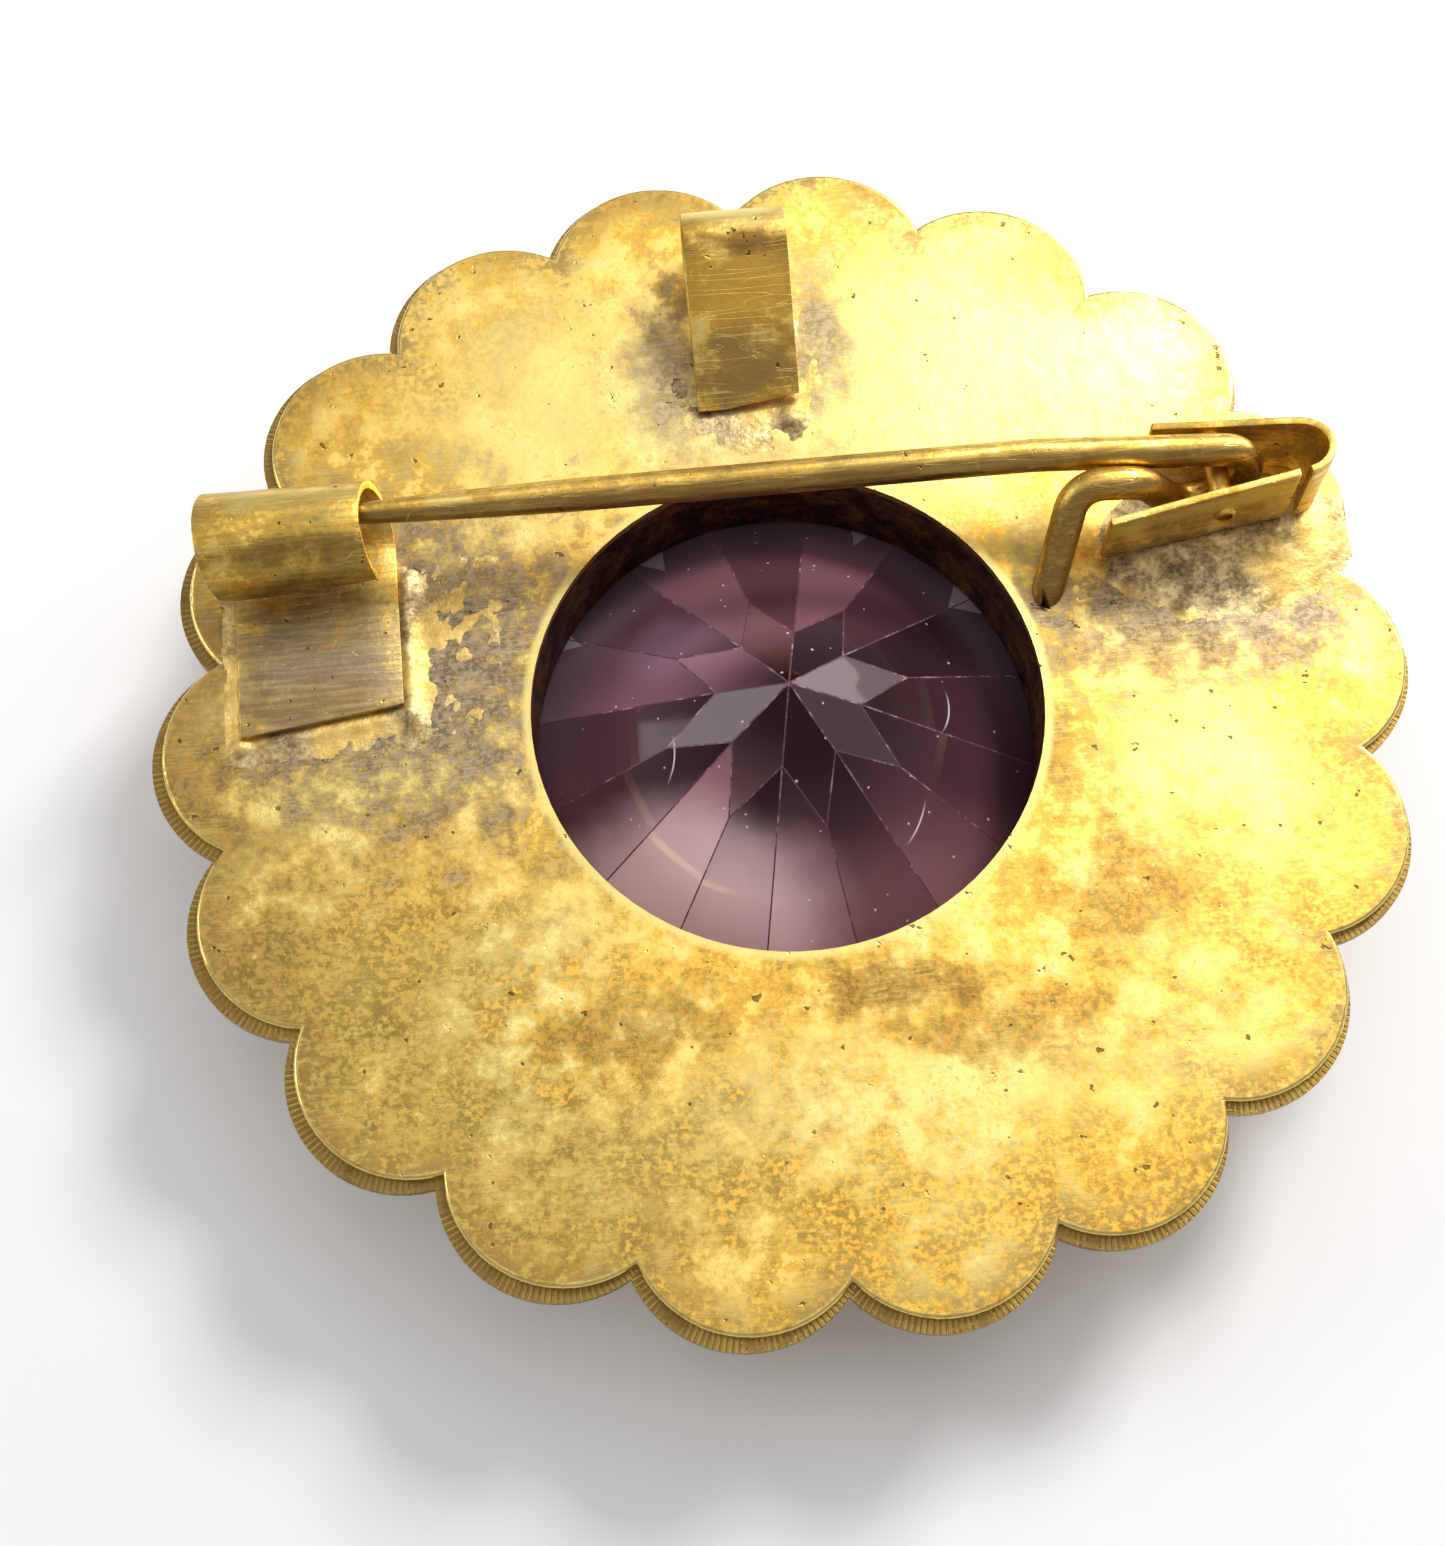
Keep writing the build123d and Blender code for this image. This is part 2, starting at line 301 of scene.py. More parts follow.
plateLook = {
    # centre, size, colour, strength, raggedness
    "patches": [
        ((-15.5, -9.5), (10.0, 10.0), "olive", 0.85, 2.6),
        ((-8.0, -17.0), (11.0, 5.5), "olive", 0.75, 2.6),
        ((5.0, -19.0), (10.0, 4.0), "ochre", 0.8, 2.8),
        ((12.0, -14.5), (4.0, 3.0), "ochre", 0.5, 2.8),
        ((-13.0, -4.5), (4.5, 3.5), "ochre", 0.6, 2.6),
        ((-6.5, -11.0), (5.5, 2.6), "ochre", 0.8, 2.6),
        ((4.5, -11.5), (6.5, 2.8), "ochre", 0.85, 2.6),
        ((12.5, -8.5), (6.0, 4.8), "ochre", 0.75, 2.8),
        ((19.0, -3.5), (2.6, 4.2), "ochre", 0.5, 2.4),
        ((17.5, -11.0), (3.0, 3.0), "ochre", 0.5, 2.4),
        ((-18.0, 8.5), (4.5, 3.5), "ochre", 0.35, 2.4),
        ((-14.0, 14.0), (5.5, 3.0), "ochre", 0.4, 2.6),
        ((12.5, 17.0), (3.4, 1.8), "ochre", 0.6, 2.4),
        ((-6.0, -11.5), (3.5, 1.4), "brown", 0.5, 2.4),
        ((2.6, -10.9), (3.2, 1.2), "brown", 0.65, 2.4),
        ((6.5, -12.8), (3.4, 1.6), "brown", 0.45, 2.6),
        ((11.0, -8.0), (2.6, 2.2), "brown", 0.5, 2.6),
        ((9.8, -3.2), (1.6, 2.4), "brown", 0.35, 2.4),
        ((-13.5, 3.0), (8.4, 7.6), "grey", 1, 1.8),
        ((15.5, 2.4), (7.6, 3.5), "grey", 1, 1.8),
        ((13.5, 0.6), (4.0, 1.4), "umber", 0.5, 1.8),
        ((-3.2, 13.8), (2.2, 4.6), "grey", 0.85, 1.6),
        ((2.6, 14.4), (1.8, 3.8), "grey", 0.85, 1.6),
        ((0.0, 9.8), (4.0, 2.0), "grey", 0.5, 1.8),
        ((-21.2, 0.5), (2.2, 5.0), "umber", 0.6, 2.0),
        ((-20.0, -7.5), (2.4, 3.4), "umber", 0.45, 2.4),
    ],
    # centre, size and strength of each painted highlight
    "paintedLight": [
        ((9.0, 13.5), (9.5, 6.5), 0.8), ((-8.5, 13.0), (5.0, 4.5), 0.7), ((1.5, -14.5), (9.0, 3.2), 0.8),
        ((15.0, -5.0), (4.5, 4.5), 0.8), ((-9.5, -8.5), (2.8, 3.4), 0.8), ((12.0, -13.0), (4.0, 3.4), 0.7),
    ],
    "holeEdge": 9.26,
}


def plateGilt():
    look = startLook("wornPlateGilt")
    where = inMillimetres()
    cloud, mottle, speck, colour, roughness = giltBase(where, 0.0)
    rag = calc("ADD", calc("MULTIPLY", mottle, 0.65), calc("MULTIPLY", speck, 0.35))
    # painted highlights: bright gold patches, with lower roughness
    for centre, size, strength in plateLook["paintedLight"]:
        spot = calc("MULTIPLY", patch(where, (*centre, plateTop), (*size, 9), rag, 3.5), strength)
        colour = mixColour(spot, colour, gilt["bright"])
        roughness = mixValue(spot, roughness, 0.3)
    for centre, size, tone, strength, ragged in plateLook["patches"]:
        spot = calc("MULTIPLY", patch(where, (*centre, plateTop), (*size, 9), rag, ragged * 2), strength)
        pale, dark = [min(1, c * 1.25) for c in gilt[tone]], [c * 0.55 for c in gilt[tone]]
        tint = mixColour(fade(speck, 0.38, 0.62), pale, dark)
        colour = mixColour(spot, colour, tint)
        roughness = mixValue(spot, roughness, 0.48)
    out = fromAxis(where)
    reach, _ = fromScallop(where)
    edgeReach = scallops["reach"]
    # painted highlight in bright gold, with lower roughness, on the lip of the hole and along the rim
    lip = fade(out, plateLook["holeEdge"] + 0.12, plateLook["holeEdge"] + 0.42, 1, 0)
    rimHighlight = fade(calc("ADD", reach, calc("MULTIPLY", mottle, 0.3)), edgeReach - 0.05, edgeReach + 0.12)
    outer = fade(out, 16.8, 19.2)
    rimHighlight = calc("MULTIPLY", rimHighlight, outer)
    stain = calc("MULTIPLY", fade(reach, edgeReach - 1.9, edgeReach - 0.1), fade(rag, 0.42, 0.58))
    stain = calc("MULTIPLY", stain, outer)
    colour = mixColour(calc("MULTIPLY", stain, 0.9), colour, gilt["umber"])
    edge = calc("MAXIMUM", lip, rimHighlight)
    colour = mixColour(calc("MULTIPLY", edge, 0.75), colour, gilt["bright"])
    roughness = mixValue(calc("MULTIPLY", edge, 0.8), roughness, 0.24)
    # small dark pits and flecks of tarnish
    pits = fade(noise(where, 0.5, 2, 0.6), 0.70, 0.75)
    flecks = calc("MULTIPLY", fade(speck, 0.56, 0.66), fade(cloud, 0.42, 0.6))
    colour = mixColour(calc("MULTIPLY", flecks, 0.5), colour, gilt["olive"])
    colour = mixColour(calc("MULTIPLY", pits, 0.8), colour, [c * 0.4 for c in gilt["brown"]])
    lines = hairlines(where, 35, 0.16, 2.4, 0.07, 0.25)
    for turnAngle, spread, length in ((-20, 0.2, 3), (75, 0.17, 2), (120, 0.2, 3.2), (8, 0.15, 1.8)):
        lines = calc("MAXIMUM", lines, hairlines(where, turnAngle, spread, length, 0.06, 0.2))
    colour = mixColour(calc("MULTIPLY", lines, 0.16), colour, gilt["bright"])
    grain = noise(where, 0.09, 2, 0.7)
    sunk = calc("SUBTRACT", 1, pits)
    bumps = [(cloud, 0.11), (mottle, 0.014), (speck, 0.006), (grain, 0.002), (sunk, 0.02)]
    return finishMetal(look, colour, roughness, 1.0, bumps)


def shellGilt():
    look = startLook("milledShellGilt")
    where = inMillimetres()
    _, mottle, speck, colour, roughness = giltBase(where, 0.03, 11.0)
    reach, turn = fromScallop(where)
    parts = put("SeparateXYZ", {0: where}).outputs
    # fine lines cut across the rim
    comb = calc("SINE", calc("MULTIPLY", turn, 130))
    onRim = calc("MULTIPLY", fade(parts[2], plateBottom - 0.5, plateBottom - 0.36), fade(reach, 3.2, 3.6))
    cuts = calc("MULTIPLY", onRim, calc("MULTIPLY", fade(comb, -0.1, 0.9), fade(mottle, 0.4, 0.56)))
    # painted shade: the rim is darkened with umber
    colour = mixColour(calc("MULTIPLY", onRim, 0.85), colour, [c * 0.6 for c in gilt["umber"]])
    colour = mixColour(calc("MULTIPLY", cuts, 0.7), colour, [c * 0.5 for c in gilt["brown"]])
    # tarnish between the petals
    low = calc("MULTIPLY", fade(parts[2], plateBottom - 1.6, plateBottom - 0.3), fade(mottle, 0.35, 0.6))
    colour = mixColour(calc("MULTIPLY", low, 0.45), colour, gilt["olive"])
    grain = noise(where, 0.09, 2, 0.7)
    bumps = [(mottle, 0.03), (speck, 0.01), (grain, 0.003), (calc("SUBTRACT", 1, cuts), 0.03)]
    return finishMetal(look, colour, roughness, 1.0, bumps)


def bearerTarnish():
    look = startLook("darkBearer")
    where = inMillimetres()
    mottle = noise(where, 1.1, 6, 0.7)
    speck = noise(where, 0.2, 3, 0.6)
    both = calc("ADD", calc("MULTIPLY", mottle, 0.8), calc("MULTIPLY", speck, 0.2))
    colour = ramp(both, [
        (0.36, (0.02, 0.012, 0.01)), (0.48, (0.08, 0.035, 0.02)),
        (0.57, (0.25, 0.09, 0.03)), (0.7, (0.5, 0.27, 0.1)),
    ])
    roughness = fade(mottle, 0.4, 0.7, 0.65, 0.4)
    bumps = [(mottle, 0.08), (speck, 0.02)]
    return finishMetal(look, colour, roughness, 0.85, bumps)


# gilding of a fitting: brushed is how fine drawn lines are stretched, a zone is a centre, size, tone and
# strength, and the under shade amount paints umber shade on the sides that face -y
def fittingGilt(name, seed, wear=0.0, brushed=None, zones=(), underShade=0.0):
    look = startLook(name)
    where = inMillimetres()
    _, mottle, speck, colour, roughness = giltBase(where, wear, seed)
    for centre, size, tone, strength in zones:
        spot = calc("MULTIPLY", patch(where, centre, size, mottle, 2.0), strength)
        colour = mixColour(spot, colour, gilt[tone])
    if underShade:
        # painted shade: umber on the sides that face -y
        facing = put("SeparateXYZ", {0: put("TexCoord", {}).outputs["Normal"]}).outputs
        colour = mixColour(calc("MULTIPLY", fade(facing[1], 0.1, -0.5), underShade), colour, gilt["umber"])
    pits = fade(noise(where, 0.4, 2, 0.6), 0.68, 0.75)
    colour = mixColour(calc("MULTIPLY", pits, 0.85), colour, [c * 0.35 for c in gilt["brown"]])
    lines = hairlines(where, 15 + seed, 0.3, 4, 0.012, 0.6)
    lines = calc("MAXIMUM", lines, hairlines(where, 100 + seed, 0.3, 3, 0.010, 0.5))
    colour = mixColour(calc("MULTIPLY", lines, 0.45), colour, gilt["bright"])
    scored, sunk = calc("SUBTRACT", 1, lines), calc("SUBTRACT", 1, pits)
    bumps = [(mottle, 0.03), (speck, 0.01), (scored, 0.004), (sunk, 0.03)]
    if brushed:
        stretched = put("Mapping", {"Vector": where, "Scale": brushed}).outputs[0]
        drawn = noise(stretched, 1, 3, 0.6)
        colour = mixColour(calc("MULTIPLY", fade(drawn, 0.45, 0.65), 0.14), colour, gilt["bright"])
        colour = mixColour(calc("MULTIPLY", fade(drawn, 0.5, 0.36), 0.18), colour, gilt["brown"])
        bumps.append((drawn, 0.012))
    return finishMetal(look, colour, roughness, 1.0, bumps)


def solderGrey():
    look = startLook("greySolder")
    where = inMillimetres()
    mottle = noise(where, 0.9, 6, 0.7)
    speck = noise(where, 0.16, 3, 0.65)
    both = calc("ADD", calc("MULTIPLY", mottle, 0.7), calc("MULTIPLY", speck, 0.3))
    cloud = noise(where, 3.0, 3, 0.5)
    colour = ramp(both, [
        (0.36, (0.14, 0.10, 0.055)), (0.46, (0.36, 0.27, 0.14)),
        (0.54, (0.60, 0.47, 0.24)), (0.66, (0.86, 0.70, 0.34)),
    ])
    colour = mixColour(calc("MULTIPLY", fade(cloud, 0.42, 0.62), 0.6), colour, gilt["gold"])
    roughness = fade(both, 0.35, 0.65, 0.6, 0.42)
    bumps = [(mottle, 0.045), (speck, 0.02)]
    return finishMetal(look, colour, roughness, 0.95, bumps)


stone = {
    "girdle": 9.75,
    "front": 2.2,
    "back": 2.55,
    "top": 8.95,
    "table": 5.6,
    "crownHalf": 0.597,
    "star": 0.224,
    "pavilionMain": 0.611,
    "pavilionHalf": 0.685,
    "mains": 8,
    "turn": 12,
    "sides": 192,
    "edge": 0.03,
}

stoneLook = {
    "heart": (0.022, 0.006, 0.011),
    "haze": (0.17, 0.125, 0.165),
    "paintedGlowPink": (1.0, 0.70, 0.74),
    "paintedGlowRose": (0.50, 0.24, 0.27),
    "chip": (0.50, 0.43, 0.49),
    "kite": (0.17, 0.12, 0.145),
    "dust": (0.85, 0.78, 0.80),
    "front": (0.72, 0.40, 0.50),
    # tones of painted reflection on the back facets, by the turn they face
    "tones": [
        (0.00, (0.10, 0.045, 0.062)), (0.08, (0.16, 0.075, 0.10)), (0.20, (0.34, 0.15, 0.185)),
        (0.30, (0.44, 0.20, 0.225)), (0.40, (0.42, 0.20, 0.28)), (0.49, (0.15, 0.070, 0.095)),
        (0.55, (0.25, 0.11, 0.145)), (0.62, (0.58, 0.29, 0.33)), (0.70, (0.62, 0.31, 0.35)),
        (0.78, (0.40, 0.16, 0.20)), (0.87, (0.24, 0.10, 0.13)), (0.95, (0.12, 0.05, 0.07)),
    ],
    "kiteSlope": (0.839, 0.845),
    "kites": ((0, 1), (180, 0.8), (315, 0.35)),
    "kiteWidth": 0.03,
    # turn, reach and width of each chip of light
    "chips": ((118, 8.2, 0.5), (66, 8.4, 0.4), (35, 8.1, 0.7), (148, 8.5, 0.45)),
    # centre and size of each painted glow of light
    "paintedGlows": (((-5.8, -5.6, 5), (4.6, 3.2, 9)), ((-2.3, -7.2, 5), (3.9, 3.2, 9))),
    # middle of the bend, its radius and the place that is kept
    "hairs": (
        ((-6.4, -1.0), 2.2, (-4.25, -1.4)),
        ((1.2, -2.6), 3.6, (4.3, -4.3)),
        ((4.0, 0.2), 2.0, (5.9, -0.2)),
    ),
    "lilac": (0.33, 0.19, 0.27),
    "grid": 37,
    "depth": (0.45, 0.04, 0.2),
    "density": 120,
    "clear": 0.12,
    "index": 1.5,
    "sheen": 0.16,
}


def stoneGlass():
    look = startLook("plumStone")
    where = inMillimetres()
    parts = put("SeparateXYZ", {0: where}).outputs
    out = fromAxis(where)
    veil = noise(where, 3, 3, 0.5)
    # painted reflections and shade: each facet of the back gets a tone of its own by the turn it faces,
    # with painted shade dark at the heart and paler outwards
    normal = put("TexCoord", {}).outputs["Normal"]
    facing = put("SeparateXYZ", {0: normal}).outputs
    turn = calc("FRACT", calc("ADD", calc("DIVIDE", calc("ARCTAN2", facing[1], facing[0]), 2 * pi), 1))
    tone = ramp(turn, stoneLook["tones"])
    spread = put("VectorMath", {0: normal, 1: [stoneLook["grid"]] * 3}, operation="MULTIPLY").outputs[0]
    keyed = put("VectorMath", {0: spread}, operation="FLOOR")
    facet = put("TexWhiteNoise", {"Vector": keyed.outputs[0]}).outputs["Value"]
    onBack = fade(parts[2], stone["back"] - 0.1, stone["back"] + 0.1)
    rise = fade(calc("ADD", out, calc("MULTIPLY", facet, 3.2)), 2.6, 9.6)
    shade = mixValue(fade(parts[1], 0.5, 3.5), rise, fade(facet, 0, 1, 0.45, 1.0))
    tone = mixColour(1, tone, ramp(facet, [(0, (0.35, 0.32, 0.34)), (1, (1.0, 0.97, 0.98))]), "MULTIPLY")
    colour = mixColour(shade, stoneLook["heart"], tone)
    # painted glow of light: rose on the lower outer part of the back, and pink patches below the point
    low = calc("MULTIPLY", fade(parts[1], -2.5, -7), fade(out, 4, 7.5))
    colour = mixColour(calc("MULTIPLY", low, fade(facet, 0, 1, 0.3, 0.8)), colour, stoneLook["paintedGlowRose"])
    for centre, size in stoneLook["paintedGlows"]:
        paintedLight = patch(where, centre, size, veil, 0.5)
        colour = mixColour(calc("MULTIPLY", paintedLight, fade(facet, 0, 1, 0.75, 1)), colour, stoneLook["paintedGlowPink"])
    lilac = patch(where, (-3.8, 3.4, 6), (2.6, 1.4, 9), veil, 1.6)
    colour = mixColour(calc("MULTIPLY", lilac, 0.5), colour, stoneLook["lilac"])
    farBand = calc("MULTIPLY", fade(out, 6.8, 8.6), fade(parts[1], -2, 4))
    colour = mixColour(calc("MULTIPLY", farBand, 0.75), colour, stoneLook["haze"])
    # small facets beside the point that catch the light
    small = fade(facing[2], *stoneLook["kiteSlope"])
    width = stoneLook["kiteWidth"]
    for kiteTurn, strength in stoneLook["kites"]:
        off = calc("ABSOLUTE", calc("SUBTRACT", turn, (stone["turn"] + kiteTurn) / 360))
        lit = calc("MULTIPLY", fade(off, width * 0.9, width, 1, 0), small)
        colour = mixColour(calc("MULTIPLY", lit, strength), colour, stoneLook["kite"])
    # chips of light inside the far edge
    for chipTurn, reach, width in stoneLook["chips"]:
        side = Vector((-sin(radians(chipTurn)), cos(radians(chipTurn)), 0))
        across = put("VectorMath", {0: where, 1: side}, operation="DOT_PRODUCT").outputs["Value"]
        wedge = calc("MULTIPLY", calc("SUBTRACT", out, reach), width)
        wedge = calc("SUBTRACT", wedge, calc("ABSOLUTE", across))
        chip = calc("MULTIPLY", fade(wedge, 0, 0.06), fade(parts[1], 3, 3.2))
        colour = mixColour(calc("MULTIPLY", chip, 0.9), colour, stoneLook["chip"])
    colour = mixColour(onBack, stoneLook["front"], colour)
    # specks of dust and a few curled hairs on the polished facets
    dots = put("TexVoronoi", {"Vector": where, "Scale": 1.2, "Randomness": 1.0}).outputs["Distance"]
    dust = calc("MULTIPLY", fade(dots, 0.05, 0.075, 1, 0), 0.8)
    flat = put("VectorMath", {0: where, 1: (1, 1, 0)}, operation="MULTIPLY").outputs[0]
    for bend, radius, keep in stoneLook["hairs"]:
        ring = put("VectorMath", {0: flat, 1: (*bend, 0)}, operation="DISTANCE").outputs["Value"]
        line = fade(calc("ABSOLUTE", calc("SUBTRACT", ring, radius)), 0.012, 0.04, 1, 0)
        kept = patch(where, (*keep, 6), (0.8, 0.8, 9), veil, 0.2)
        dust = calc("MAXIMUM", dust, calc("MULTIPLY", line, kept))
    smear = noise(where, 2.2, 4, 0.6)
    shader = tree.nodes["Principled BSDF"]
    dusted = mixColour(calc("MULTIPLY", dust, 0.8), colour, stoneLook["dust"])
    tree.links.new(dusted, shader.inputs["Base Color"])
    tree.links.new(mixValue(dust, fade(smear, 0.45, 0.75, 0.03, 0.09), 0.6), shader.inputs["Roughness"])
    clear = mixValue(onBack, 0.9, stoneLook["clear"])
    tree.links.new(calc("SUBTRACT", clear, dust, True), shader.inputs["Transmission Weight"])
    shader.inputs["IOR"].default_value = stoneLook["index"]
    shader.inputs["Specular IOR Level"].default_value = stoneLook["sheen"]
    inside = put("VolumeAbsorption", {"Color": (*stoneLook["depth"], 1), "Density": stoneLook["density"]})
    tree.links.new(inside.outputs[0], tree.nodes["Material Output"].inputs["Volume"])
    return look


# painted highlight on the edges between the facets, broken into pale and dark stretches
def edgeGlass():
    look = startLook("stoneEdgeHighlight")
    where = inMillimetres()
    broken = noise(where, 0.5, 3, 0.6)
    shader = tree.nodes["Principled BSDF"]
    paintedEdgeHighlight = ramp(broken, [(0.52, (0.13, 0.06, 0.08)), (0.66, (0.42, 0.27, 0.31))])
    tree.links.new(paintedEdgeHighlight, shader.inputs["Base Color"])
    tree.links.new(fade(broken, 0.4, 0.6, 0.35, 0.15), shader.inputs["Roughness"])
    shader.inputs["Transmission Weight"].default_value = 0.1
    shader.inputs["Specular IOR Level"].default_value = stoneLook["sheen"]
    shader.inputs["IOR"].default_value = stoneLook["index"]
    return look


looks = {
    "plate": plateGilt(),
    "shell": shellGilt(),
    "bearer": bearerTarnish(),
    "setting": fittingGilt("polishedSettingGilt", 31.0, -0.05),
    # catch zones: a grey tint on the base, painted shade in umber along the near edge of the base and low
    # on the roll, a painted dark reflection band in brown across the roll, and painted highlights in bright
    # on the roll's right end and far upper side
    "catch": fittingGilt("catchGilt", 5.0, 0.045, (0.5, 5, 5), [
        ((-16.7, 2.6, 7.2), (4.6, 3.2, 1.4), "grey", 1), ((-16.7, 1.6, 7.2), (3.4, 1.0, 1.4), "umber", 0.5),
        ((-16.7, 6.2, 9.6), (4.4, 0.6, 2), "brown", 0.75), ((-17.6, 5.4, 8.0), (3.0, 0.8, 1), "umber", 0.8),
        ((-13.9, 7.2, 9), (0.5, 2.2, 2.2), "bright", 0.9), ((-17.5, 8.2, 10), (3.5, 0.7, 2), "bright", 0.6),
    ]),
    # bracket zones: painted shade in umber low on the near cheek, and a painted highlight in bright along
    # its top
    "bracket": fittingGilt("bracketGilt", 17.0, 0.02, (0.6, 1, 6), [
        ((15.5, 5.0, 7.3), (5.5, 1.2, 0.7), "umber", 0.8),
        ((15.5, 5.0, 9.7), (5.5, 1.2, 0.5), "bright", 0.8),
    ]),
    # bail zones: a painted reflection of the gold plate in ochre, a painted dark reflection band in brown
    # below the crest, painted shade in umber towards the foot, and a painted highlight in bright on the
    # crest
    "bail": fittingGilt("bailGilt", 23.0, 0.03, None, [
        ((-0.2, 15.9, 10), (2.4, 1.5, 9), "ochre", 0.9), ((-0.2, 17.5, 10), (2.6, 0.55, 9), "brown", 0.9),
        ((-0.2, 13.3, 9), (2.6, 1.7, 9), "umber", 0.8), ((-0.2, 19.0, 10), (2.6, 1.0, 9), "bright", 0.9),
    ]),
    # the pin has painted shade, umber, on the sides that face -y
    "pin": fittingGilt("pinGilt", 41.0, 0.01, (0.5, 9, 9), (), 0.8),
    "solder": solderGrey(),
    "stone": stoneGlass(),
    "stoneEdge": edgeGlass(),
}
print("materials done")


# modelling helpers

def beginPiece():
    if bpy.context.mode != "OBJECT":
        bpy.ops.object.mode_set(mode="OBJECT")
    bpy.ops.object.select_all(action="DESELECT")


def editAll():
    bpy.ops.object.mode_set(mode="EDIT")
    bpy.ops.mesh.select_all(action="SELECT")


# selects faces, edges or vertices by a test on their middle
def pick(kind, test):
    piece = bpy.context.object
    bpy.ops.mesh.select_mode(type={"faces": "FACE", "edges": "EDGE", "verts": "VERT"}[kind])
    bpy.ops.mesh.select_all(action="DESELECT")
    shape = bmesh.from_edit_mesh(piece.data)
    for part in getattr(shape, kind):
        middle = part.co if kind == "verts" else sum((v.co for v in part.verts), Vector()) / len(part.verts)
        if test(middle / mm, part):
            part.select = True
    shape.select_flush_mode()
    bmesh.update_edit_mesh(piece.data)


# a corner as near as this to a cut is taken to lie on it
cutSnap = 0.0001


def cut(point, normal, fill=False):
    bpy.ops.mesh.bisect(
        plane_co=Vector(point) * mm, plane_no=Vector(normal).normalized(),
        use_fill=fill, clear_outer=True, threshold=cutSnap * mm,
    )


def applyModifier(kind, **settings):
    piece = bpy.context.object
    made = piece.modifiers.new(kind.lower(), kind)
    for key, value in settings.items():
        setattr(made, key, value)
    bpy.ops.object.modifier_apply(modifier=made.name)


def roughen(name, size, depth):
    made = bpy.data.textures.new(name, "CLOUDS")
    made.noise_scale = size * mm
    made.noise_depth = 2
    applyModifier("DISPLACE", texture=made, strength=depth * mm, texture_coords="LOCAL")


def finishPiece(name, body, replaced, look, smooth=40):
    if bpy.context.mode != "OBJECT":
        bpy.ops.object.mode_set(mode="OBJECT")
    piece = bpy.context.object
    bpy.ops.object.transform_apply(location=True, rotation=True, scale=True)
    bpy.ops.object.shade_smooth_by_angle(angle=radians(smooth))
    piece.name = name
    piece.data.name = name
    if look:
        piece.data.materials.clear()
        piece.data.materials.append(look)
    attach(piece, body)
    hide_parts(replaced)
    print(name, "done")


# extrudes and spins what is selected, by ("run", length, steps) or ("turn", radius, degrees, steps)
def follow(place, heading, hinge, moves):
    place, heading, hinge = Vector(place), Vector(heading).normalized(), Vector(hinge).normalized()
    for move in moves:
        if move[0] == "run":
            stride = heading * (move[1] / move[2] * mm)
            for _ in range(move[2]):
                bpy.ops.mesh.extrude_region_move(TRANSFORM_OT_translate={"value": stride})
            place = place + heading * move[1]
        else:
            side = 1 if move[2] > 0 else -1
            centre = place + hinge.cross(heading) * (move[1] * side)
            bpy.ops.mesh.spin(steps=move[3], angle=-radians(move[2]), center=centre * mm, axis=hinge)
            turn = Matrix.Rotation(radians(move[2]), 3, hinge)
            place = centre + turn @ (place - centre)
            heading = turn @ heading


# length of the plane that a strip starts from
firstStep = 0.2


# a flat strip that starts as a short plane and is then led round its bends
def layStrip(start, heading, across, width, moves):
    beginPiece()
    heading, across = Vector(heading).normalized(), Vector(across).normalized()
    turn = Matrix((heading, across, heading.cross(across))).transposed().to_4x4()
    middle = Vector(start) + heading * firstStep / 2
    bpy.ops.mesh.primitive_plane_add(size=1, location=middle * mm, rotation=turn.to_euler())
    bpy.context.object.scale = (firstStep * mm, width * mm, 1)
    bpy.ops.object.transform_apply(location=True, rotation=True, scale=True)
    bpy.ops.object.mode_set(mode="EDIT")
    end = Vector(start) + heading * firstStep
    far = end.dot(heading)
    pick("edges", lambda m, e: abs(m.dot(heading) - far) < 0.01)
    follow(end, heading, across, moves)
    bpy.ops.mesh.select_all(action="SELECT")
    bpy.ops.mesh.remove_doubles(threshold=0.001 * mm)


def thicken(thickness, bevel, dents, cuts=3):
    bpy.ops.mesh.select_all(action="SELECT")
    bpy.ops.mesh.subdivide(number_cuts=cuts)
    bpy.ops.object.mode_set(mode="OBJECT")
    roughen("dents", *dents)
    applyModifier("SOLIDIFY", thickness=thickness * mm, offset=0, use_even_offset=True)
    applyModifier("BEVEL", width=bevel * mm, segments=2, limit_method="ANGLE", angle_limit=radians(50))


# carried-over nodes

for name, look in (("back_plate", "plate"), ("front_shell", "shell"), ("stone_bearer", "bearer")):
    nodes[name].data.materials.clear()
    nodes[name].data.materials.append(looks[look])
print("plate, shell and bearer done")


# catch

catch = {
    "thickness": 0.3,
    "width": 5.9,
    "right": -13.72,
    "nearEdge": 0.85,
    "skew": 0.136,
    "lean": 0.25,
    "rollY": 7.25,
    "rollRadius": 1.8,
    "lipAngle": 224,
    "lipRise": 0.197,
    "edge": 0.07,
    "dents": (1.6, 0.07),
}


